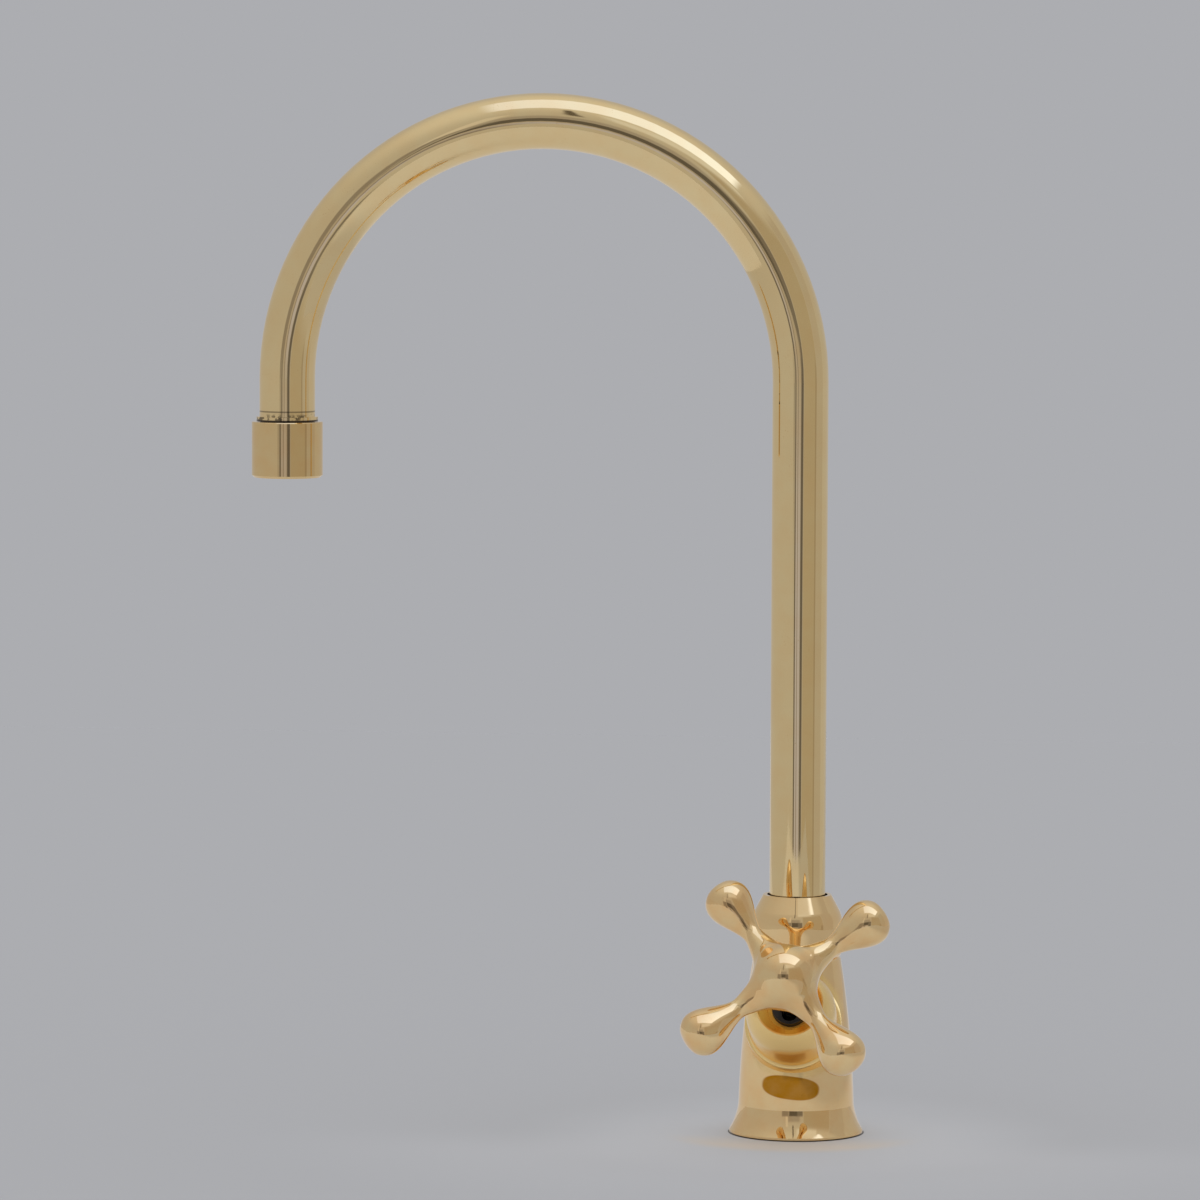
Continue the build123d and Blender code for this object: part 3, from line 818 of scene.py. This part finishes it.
def turned_distance(along, out, profile):
    """Distance to a turned shape, negative inside it."""
    place, area, slope = profile
    area = np.interp(along, place, area) + slope[-1] * np.maximum(along - place[-1], 0.0)
    slope = np.interp(along, place, slope) / 2
    return (out**2 - area) / (np.hypot(out, slope) + np.sqrt(np.maximum(area, 0.0) + slope**2))


def melt(first, second, web):
    """Joins two distances with a fillet."""
    overlap = np.maximum(web - np.abs(first - second), 0.0) / web
    return np.minimum(first, second) - overlap**2 * web / 4


def casting_distance(points, handle):
    """Distance from points in the lever's frame to the cross handle's skin."""
    arm_profile = smooth_profile(ARM_PROFILE)
    across, up, along = points[..., 0], points[..., 1], points[..., 2]
    bars = []
    for angle in (handle.turn, handle.turn + pi / 2):
        reach = across * cos(angle) + up * sin(angle)
        aside = across * sin(angle) - up * cos(angle)
        bars.append(turned_distance(np.abs(reach), np.hypot(aside, along), arm_profile))
    hub = turned_distance(along, np.hypot(across, up), smooth_profile(HUB_PROFILE))
    hub = np.maximum(hub, HUB_PROFILE[0][0] - along)
    return melt(hub, melt(*bars, handle.arm_web), handle.hub_web)


def skin_cells(inside, low, cell):
    """A point in every cell that the skin passes through, and the quads between them."""
    spans = [size - 1 for size in inside.shape]
    count = np.zeros(spans, int)
    for corner in np.ndindex(2, 2, 2):
        part = tuple(slice(start, start + span) for start, span in zip(corner, spans))
        count += inside[part]
    crossed = (count > 0) & (count < 8)
    cells = np.argwhere(crossed)
    index = np.full(spans, -1)
    index[crossed] = np.arange(len(cells))
    quads = []
    for axis in range(3):
        first, second = [other for other in range(3) if other != axis]
        here = inside.take(range(spans[axis]), axis)
        edges = np.argwhere(here != inside.take(range(1, spans[axis] + 1), axis))
        rings = []
        for shift_first, shift_second in ((-1, -1), (0, -1), (0, 0), (-1, 0)):
            beside = edges.copy()
            beside[:, first] += shift_first
            beside[:, second] += shift_second
            rings.append(index[tuple(beside.T)])
        ring = np.stack(rings, 1)
        outward = here[tuple(edges.T)] ^ (axis == 1)
        ring[~outward] = ring[~outward, ::-1]
        quads.append(ring)
    return low + (cells + 0.5) * cell, np.vstack(quads)


def casting_mesh(handle):
    """The cross handle's smooth skin: points, quads and normals in the lever's frame."""
    reach = ARM_PROFILE[-1][0] + SKIN_MARGIN * handle.cell
    low = np.array([-reach, -reach, HUB_PROFILE[0][0] - SKIN_MARGIN * handle.cell])
    high = np.array([reach, reach, ARM_PROFILE[0][1] + handle.hub_web / 2])
    steps = [np.arange(start, end, handle.cell) for start, end in zip(low, high)]
    grid = np.stack(np.meshgrid(*steps, indexing="ij"), -1)
    points, quads = skin_cells(casting_distance(grid, handle) < 0, low, handle.cell)
    nudge = handle.cell * SKIN_NUDGE
    for _ in range(SKIN_ROUNDS):
        ahead = [casting_distance(points + nudge * way, handle) for way in np.eye(3)]
        behind = [casting_distance(points - nudge * way, handle) for way in np.eye(3)]
        slope = (np.stack(ahead, 1) - np.stack(behind, 1)) / (2 * nudge)
        distance = casting_distance(points, handle)
        points = points - (distance / (slope**2).sum(1))[:, None] * slope
    return points, quads, slope / np.linalg.norm(slope, axis=1, keepdims=True)


def dress(names, material):
    """Puts one material on every slot of some nodes."""
    for name in names:
        mesh = nodes[name].data
        mesh.materials.clear()
        mesh.materials.append(material)


class FAUCET_OT_body(bpy.types.Operator):
    """Polish the body"""

    bl_idname = "faucet.body"
    bl_label = "Body"

    def execute(self, context):
        brass = context.scene.faucet_brass
        marks = (
            (satin_mark, brass.dome),
            # Deep gold painted in the bore as shade from light bouncing inside it
            (bore_shade_mark, brass.deep),
            # A painted reflection on the body's front, under the port
            (reflection_oval_mark, brass.reflected),
            # Painted shade and grime along the foot's lower edge
            (foot_shade_mark, GRIME_AND_SHADE),
        )
        dress(
            BODY_PIECES,
            brass_material(
                "body_brass",
                brass,
                brass.cast,
                wave_scale=42.0,
                wave_depth=0.6,
                pits=0.5,
                tarnish=0.22,
                haze=0.03,
                blush=0.07,
                marks=marks,
                satin=satin_mark,
            ),
        )
        return {"FINISHED"}


class FAUCET_OT_bonnet(bpy.types.Operator):
    """Polish the bonnet nut"""

    bl_idname = "faucet.bonnet"
    bl_label = "Spout bonnet"

    def execute(self, context):
        brass = context.scene.faucet_brass
        dress(
            BONNET_PIECES,
            brass_material(
                "bonnet_brass",
                brass,
                brass.cast,
                wave_scale=50.0,
                wave_depth=0.4,
                pits=0.4,
                tarnish=0.1,
                haze=0.02,
                blush=0.04,
            ),
        )
        return {"FINISHED"}


class FAUCET_OT_spout(bpy.types.Operator):
    """Polish the gooseneck and its outlet adaptor"""

    bl_idname = "faucet.spout"
    bl_label = "Spout"

    def execute(self, context):
        brass = context.scene.faucet_brass
        marks = ((outlet_mark, GRIME_AND_SHADE),)
        dress(
            SPOUT_PIECES,
            brass_material(
                "spout_brass",
                brass,
                brass.clean,
                wave_scale=30.0,
                wave_depth=0.5,
                pits=0.9,
                tarnish=0.15,
                haze=0.02,
                blush=0.03,
                marks=marks,
            ),
        )
        return {"FINISHED"}


class FAUCET_OT_aerator(bpy.types.Operator):
    """Polish the aerator's housing and colour its insert"""

    bl_idname = "faucet.aerator"
    bl_label = "Aerator"

    def execute(self, context):
        brass = context.scene.faucet_brass
        dress(
            AERATOR_PIECES,
            brass_material(
                "aerator_brass",
                brass,
                brass.outlet,
                wave_scale=45.0,
                wave_depth=0.4,
                pits=0.4,
                tarnish=0.12,
                haze=0.03,
                blush=0.05,
            ),
        )
        dress(
            INSERT_PIECES,
            moulded_material(
                "insert_plastic",
                context.scene.faucet_trim.pale_plastic,
                roughness=0.45,
                grain_scale=900.0,
                grain_depth=0.3,
            ),
        )
        return {"FINISHED"}


class FAUCET_OT_handle(bpy.types.Operator):
    """Cast and polish the cross handle"""

    bl_idname = "faucet.handle"
    bl_label = "Cross handle"

    def execute(self, context):
        handle = context.scene.faucet_handle
        points, quads, normals = casting_mesh(handle)
        along = Vector((0.0, -cos(handle.lean), sin(handle.lean)))
        across = Vector((1.0, 0.0, 0.0))
        centre = Vector(joints["flow_tilt"]["pos_m"]) + along * handle.reach
        turn = np.array(Matrix((across, along.cross(across), along)))
        mesh = bpy.data.meshes.new("handle_casting")
        mesh.from_pydata((points @ turn + np.array(centre)).tolist(), [], quads.tolist())
        mesh.shade_smooth()
        mesh.normals_split_custom_set_from_vertices((normals @ turn).tolist())
        casting = bpy.data.objects.new("handle_casting", mesh)
        context.scene.collection.objects.link(casting)
        brass = context.scene.faucet_brass
        mesh.materials.append(
            brass_material(
                "handle_brass",
                brass,
                brass.cast,
                wave_scale=75.0,
                wave_depth=1.1,
                pits=0.7,
                tarnish=0.3,
                haze=0.08,
                blush=0.12,
            )
        )
        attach(casting, "handle")
        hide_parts("cross_handle")
        return {"FINISHED"}


class FAUCET_OT_cartridge(bpy.types.Operator):
    """Dress the cartridge, its nut and the lever"""

    bl_idname = "faucet.cartridge"
    bl_label = "Cartridge and lever"

    def execute(self, context):
        trim = context.scene.faucet_trim
        brass = context.scene.faucet_brass
        lid = (lid_mark, brass.deep)
        for pieces, name, colour, roughness, grain_scale, grain_depth, plate in (
            (BLACK_PLASTIC_PIECES, "black_plastic", trim.black_plastic, 0.35, 1200.0, 0.3, None),
            (HOUSING_PIECES, "lidded_plastic", trim.black_plastic, 0.35, 1200.0, 0.3, lid),
            (PALE_PLASTIC_PIECES, "pale_plastic", trim.pale_plastic, 0.4, 900.0, 0.3, None),
            (CERAMIC_PIECES, "ceramic", trim.ceramic, 0.16, 2500.0, 0.1, None),
        ):
            dress(pieces, moulded_material(name, colour, roughness, grain_scale, grain_depth, plate))
        dress(MACHINED_PIECES, turned_material("machined_brass", brass.deep, roughness=0.22))
        dress(STEEL_PIECES, turned_material("turned_steel", trim.steel, roughness=0.28))
        return {"FINISHED"}


class FAUCET_OT_seals(bpy.types.Operator):
    """Dress the rubber rings"""

    bl_idname = "faucet.seals"
    bl_label = "Seals"

    def execute(self, context):
        dress(
            RUBBER_PIECES,
            moulded_material(
                "rubber",
                context.scene.faucet_trim.rubber,
                roughness=0.6,
                grain_scale=1500.0,
                grain_depth=0.4,
            ),
        )
        return {"FINISHED"}


def studio_panel_group():
    """A soft-edged patch of the studio, in a direction given by its azimuth and height."""
    name = "studio_panel"
    if name in bpy.data.node_groups:
        return bpy.data.node_groups[name]
    group, entry, leave = new_group(
        name,
        (
            ("Direction", "NodeSocketVector", None),
            ("Azimuth", "NodeSocketFloat", 0.0),
            ("Height", "NodeSocketFloat", 0.0),
            ("Half Width", "NodeSocketFloat", 0.2),
            ("Half Height", "NodeSocketFloat", 0.2),
            ("Side Edge", "NodeSocketFloat", 0.02),
            ("Level Edge", "NodeSocketFloat", 0.05),
        ),
        (("Mask", "NodeSocketFloat"),),
    )
    links = group.links
    turn = add_node(group, "ShaderNodeVectorRotate", rotation_type="Z_AXIS")
    links.new(entry.outputs["Direction"], turn.inputs["Vector"])
    links.new(math_node(group, "MULTIPLY", entry.outputs["Azimuth"], -1.0), turn.inputs["Angle"])
    parts = split(group, turn.outputs[0])
    ahead = math_node(group, "MULTIPLY", parts["Y"], -1.0)
    side = math_node(group, "ABSOLUTE", math_node(group, "ARCTAN2", parts["X"], ahead))
    level = math_node(group, "SUBTRACT", math_node(group, "ARCSINE", parts["Z"]), entry.outputs["Height"])
    level = math_node(group, "ABSOLUTE", level)
    masks = []
    for value, half, edge in ((side, "Half Width", "Side Edge"), (level, "Half Height", "Level Edge")):
        outer = math_node(group, "ADD", entry.outputs[half], entry.outputs[edge])
        inner = math_node(group, "SUBTRACT", entry.outputs[half], entry.outputs[edge])
        masks.append(map_range(group, value, outer, inner, smooth=True))
    links.new(math_node(group, "MULTIPLY", *masks), leave.inputs["Mask"])
    return group


def build_world(backdrop):
    """A studio that the camera and the polish see, and plain even light for the rest."""
    world = bpy.data.worlds.new("studio")
    bpy.context.scene.world = world
    world.use_nodes = True
    tree = world.node_tree
    tree.nodes.clear()
    out = add_node(tree, "ShaderNodeOutputWorld")
    place = add_node(tree, "ShaderNodeTexCoord")
    direction = place.outputs["Generated"]
    parts = split(tree, direction)
    rise = add_node(tree, "ShaderNodeValToRGB")
    tree.links.new(map_range(tree, parts["Z"], low=-1.0, high=1.0), rise.inputs["Fac"])
    ramp = rise.color_ramp
    while len(ramp.elements) < len(SKY_STOPS):
        ramp.elements.new(0.5)
    for element, (position, colour) in zip(ramp.elements, SKY_STOPS):
        element.position = position
        element.color = (*colour, 1.0)
    seen = rise.outputs["Color"]
    for name, azimuth, height, half_width, half_height, side_edge, level_edge, colour in STUDIO_PANELS:
        panel = add_group(
            tree,
            studio_panel_group(),
            label=name,
            direction=direction,
            azimuth=radians(azimuth),
            height=radians(height),
            half_width=radians(half_width),
            half_height=radians(half_height),
            side_edge=radians(side_edge),
            level_edge=radians(level_edge),
        )
        seen = mix_colours(tree, panel["Mask"], seen, colour)
    overhead, across = overhead_light(tree, parts)
    shade = map_range(tree, across, *OVERHEAD_SHADE)
    seen = mix_colours(tree, overhead, seen, mix_colours(tree, shade, OVERHEAD_LEFT, OVERHEAD_RIGHT))
    path = add_node(tree, "ShaderNodeLightPath")
    mirrored = math_node(tree, "MAXIMUM", path.outputs["Is Glossy Ray"], path.outputs["Is Transmission Ray"])
    lit = mix_colours(tree, mirrored, PLAIN_LIGHT, seen)
    final = mix_colours(tree, path.outputs["Is Camera Ray"], lit, backdrop)
    light = add_node(tree, "ShaderNodeBackground")
    tree.links.new(final, light.inputs["Color"])
    tree.links.new(light.outputs[0], out.inputs["Surface"])


def overhead_light(tree, parts):
    """The rectangle of light overhead as a mask, and how far to the right a direction meets its plane."""
    up = math_node(tree, "MAXIMUM", parts["Z"], OVERHEAD_LEAST_RISE)
    masks = []
    acrosses = []
    for axis, low, high in OVERHEAD_SPAN:
        across = math_node(tree, "DIVIDE", parts[axis], up)
        centre = (low + high) / 2
        half = (high - low) / 2
        offset = math_node(tree, "ABSOLUTE", math_node(tree, "SUBTRACT", across, centre))
        masks.append(map_range(tree, offset, half + OVERHEAD_EDGE, half - OVERHEAD_EDGE, smooth=True))
        acrosses.append(across)
    return math_node(tree, "MULTIPLY", *masks), acrosses[0]


def table_colour(tree, position, backdrop):
    """The backdrop's colour with a wide painted glow, a warmer painted glow near the foot and a painted
    contact shadow under it; as the polish mirrors it, the table is painted brighter, less so to the right.
    """
    parts = split(tree, position)
    length = vector_node(tree, "LENGTH", position)
    wide = map_range(tree, length, *WIDE_REACH, smooth=True)
    wide = math_node(tree, "MULTIPLY", wide, map_range(tree, parts["Y"], *WIDE_FRONT, smooth=True))
    glow = map_range(tree, length, *GLOW_REACH, smooth=True)
    glow = math_node(tree, "MULTIPLY", glow, map_range(tree, parts["Y"], *GLOW_FRONT, to_low=GLOW_BACK))
    warm = map_range(tree, length, *WARM_REACH, smooth=True)
    warm = math_node(tree, "MULTIPLY", warm, map_range(tree, parts["Y"], *WARM_FRONT))
    near = mix_colours(tree, warm, tinted(backdrop, GLOW_SHARES), tinted(backdrop, WARM_SHARES))
    seen = mix_colours(tree, wide, backdrop, dimmed(backdrop, WIDE_SHARE))
    seen = mix_colours(tree, glow, seen, near)
    # Painted contact shadow: a thin dark ring on the table round the foot
    seen = mix_colours(tree, map_range(tree, length, *CONTACT_SHADOW_REACH, smooth=True), seen, GRIME_AND_SHADE)
    # Painted light: the table as the polish mirrors it is brighter, with painted shade to the right
    right = map_range(tree, parts["X"], *MIRRORED_SPAN, smooth=True)
    mirrored = mix_colours(tree, right, dimmed(backdrop, MIRRORED_LEFT), dimmed(backdrop, MIRRORED_RIGHT))
    path = add_node(tree, "ShaderNodeLightPath")
    return mix_colours(tree, path.outputs["Is Glossy Ray"], seen, mirrored)


def build_table(studio):
    """The pale table, whose far edges melt into the backdrop."""
    low = (-studio.table_side, -studio.table_front)
    high = (studio.table_side, studio.table_back)
    mesh = bpy.data.meshes.new("table")
    corners = [(low[0], low[1], 0), (high[0], low[1], 0), (high[0], high[1], 0), (low[0], high[1], 0)]
    mesh.from_pydata(corners, [], [(0, 1, 2, 3)])
    table = bpy.data.objects.new("table", mesh)
    bpy.context.scene.collection.objects.link(table)
    material, tree, shader, position = new_material("table")
    shader.inputs["Roughness"].default_value = 0.6
    shader.inputs["Specular IOR Level"].default_value = 0.0
    tree.links.new(table_colour(tree, position, studio.backdrop), shader.inputs["Base Color"])
    mesh.materials.append(material)


class FAUCET_OT_stage(bpy.types.Operator):
    """Build the table, the backdrop and the camera"""

    bl_idname = "faucet.stage"
    bl_label = "Studio and camera"

    def execute(self, context):
        studio = context.scene.faucet_studio
        build_world(studio.backdrop)
        build_table(studio)
        lens = bpy.data.cameras.new("camera")
        lens.lens = studio.focal_length
        lens.sensor_width = 36.0
        lens.clip_start = 0.1
        lens.clip_end = 50.0
        camera = bpy.data.objects.new("camera", lens)
        context.scene.collection.objects.link(camera)
        context.scene.camera = camera
        distance = studio.camera_distance
        stand = Vector(
            (
                distance * sin(studio.camera_azimuth),
                -distance * cos(studio.camera_azimuth),
                studio.camera_height,
            )
        )
        facing = (Vector(studio.camera_aim) - stand).to_track_quat("-Z", "Y").to_matrix().to_4x4()
        camera.matrix_world = Matrix.Translation(stand) @ facing @ Matrix.Rotation(studio.camera_roll, 4, "Z")
        context.scene.view_settings.view_transform = "Standard"
        return {"FINISHED"}


OPERATORS = (
    FAUCET_OT_stage,
    FAUCET_OT_body,
    FAUCET_OT_bonnet,
    FAUCET_OT_spout,
    FAUCET_OT_aerator,
    FAUCET_OT_handle,
    FAUCET_OT_cartridge,
    FAUCET_OT_seals,
)


class FAUCET_PT_panel(bpy.types.Panel):
    """Buttons for each group of pieces"""

    bl_idname = "FAUCET_PT_panel"
    bl_label = "Brass faucet"
    bl_space_type = "VIEW_3D"
    bl_region_type = "UI"
    bl_category = "Faucet"

    def draw(self, context):
        layout = self.layout
        for group in ("faucet_brass", "faucet_handle", "faucet_trim", "faucet_studio"):
            settings = getattr(context.scene, group)
            box = layout.box()
            for name in settings.bl_rna.properties.keys():
                if name not in ("rna_type", "name"):
                    box.prop(settings, name)
        for operator in OPERATORS:
            layout.operator(operator.bl_idname)


CLASSES = (FaucetBrass, FaucetHandle, FaucetTrim, FaucetStudio, *OPERATORS, FAUCET_PT_panel)


def register():
    for each in CLASSES:
        bpy.utils.register_class(each)
    bpy.types.Scene.faucet_brass = PointerProperty(type=FaucetBrass)
    bpy.types.Scene.faucet_handle = PointerProperty(type=FaucetHandle)
    bpy.types.Scene.faucet_trim = PointerProperty(type=FaucetTrim)
    bpy.types.Scene.faucet_studio = PointerProperty(type=FaucetStudio)


def unregister():
    del bpy.types.Scene.faucet_studio
    del bpy.types.Scene.faucet_trim
    del bpy.types.Scene.faucet_handle
    del bpy.types.Scene.faucet_brass
    for each in reversed(CLASSES):
        bpy.utils.unregister_class(each)


def main():
    register()
    bpy.ops.faucet.stage()
    bpy.ops.faucet.body()
    bpy.ops.faucet.bonnet()
    bpy.ops.faucet.spout()
    bpy.ops.faucet.aerator()
    bpy.ops.faucet.handle()
    bpy.ops.faucet.cartridge()
    bpy.ops.faucet.seals()


if __name__ == "__main__":
    main()
